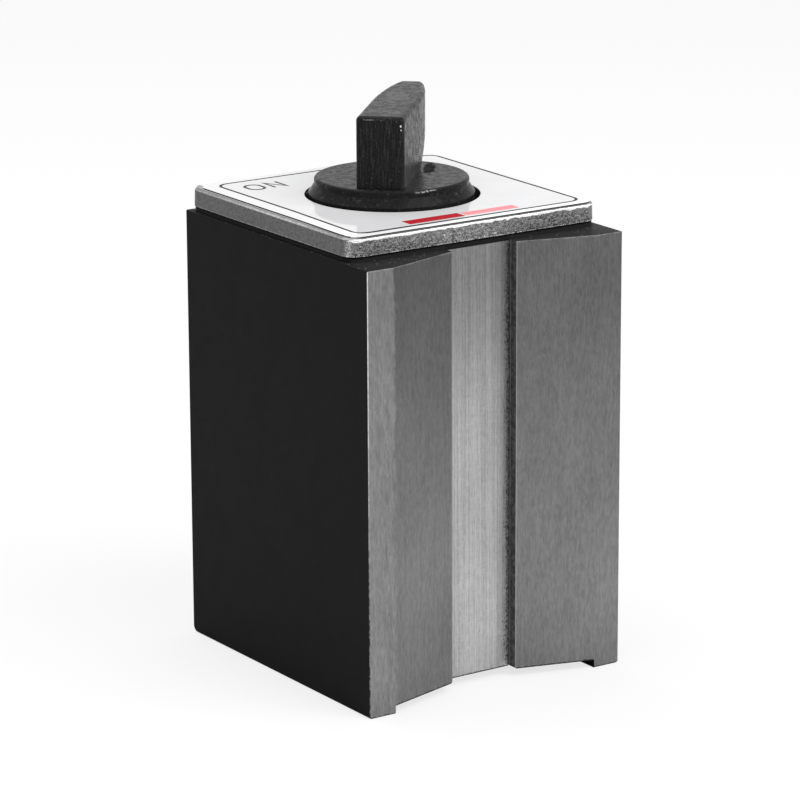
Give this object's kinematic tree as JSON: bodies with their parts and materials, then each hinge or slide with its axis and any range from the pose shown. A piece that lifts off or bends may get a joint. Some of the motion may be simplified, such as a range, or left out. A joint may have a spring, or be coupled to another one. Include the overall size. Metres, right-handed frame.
{
  "type": "threaded magnet base",
  "caption": "Switchable magnet base with a V-grooved steel working face, a threaded mounting hole and a quarter-turn pointer knob.",
  "frame": {"origin": "middle of the area that the rear end's feet stand on, as the base stands in the picture", "axes": "+X across the working face, -Y out of the grooved working face, +Y out of the threaded face, +Z along the knob's axis, away from the rear end"},
  "size_m": [0.05, 0.055, 0.0933],
  "materials": {
    "pole_steel": "ground working face, black paint on the other faces",
    "separator_metal": "milled",
    "plug_metal": "turned",
    "bronze": "turned",
    "shaft_steel": "drawn bright",
    "ferrite": "sintered, dark grey",
    "knob_plastic": "black, satin",
    "seal_rubber": "black",
    "plate_metal": "die-cast, as cast",
    "label_film": "white, glossy, printed",
    "screw_steel": "blackened"
  },
  "bodies": {
    "base": {"pole_left": "pole_steel", "pole_right": "pole_steel", "base_separator": "separator_metal", "thread_separator": "separator_metal", "rear_plug": "plug_metal", "rear_bush": "bronze", "thrust_washer": "bronze", "stop_pin": "shaft_steel", "plate_gasket": "seal_rubber", "front_plate": "plate_metal", "label_sheet": "label_film", "plate_screws": "screw_steel"},
    "rotor": {"rotor_shaft": "shaft_steel", "end_disc": "plug_metal", "magnet_rear": "ferrite", "magnet_middle": "ferrite", "magnet_front": "ferrite", "drive_disc": "plug_metal", "shaft_circlip": "shaft_steel", "knob": "knob_plastic", "knob_pin": "shaft_steel"}
  },
  "joints": [
    {"name": "knob_turn", "type": "hinge", "parent": "base", "child": "rotor", "pos_m": [0, 0.00275, 0.0813], "axis": [0, 0, 1], "range_deg": [0, 90]}
  ]
}
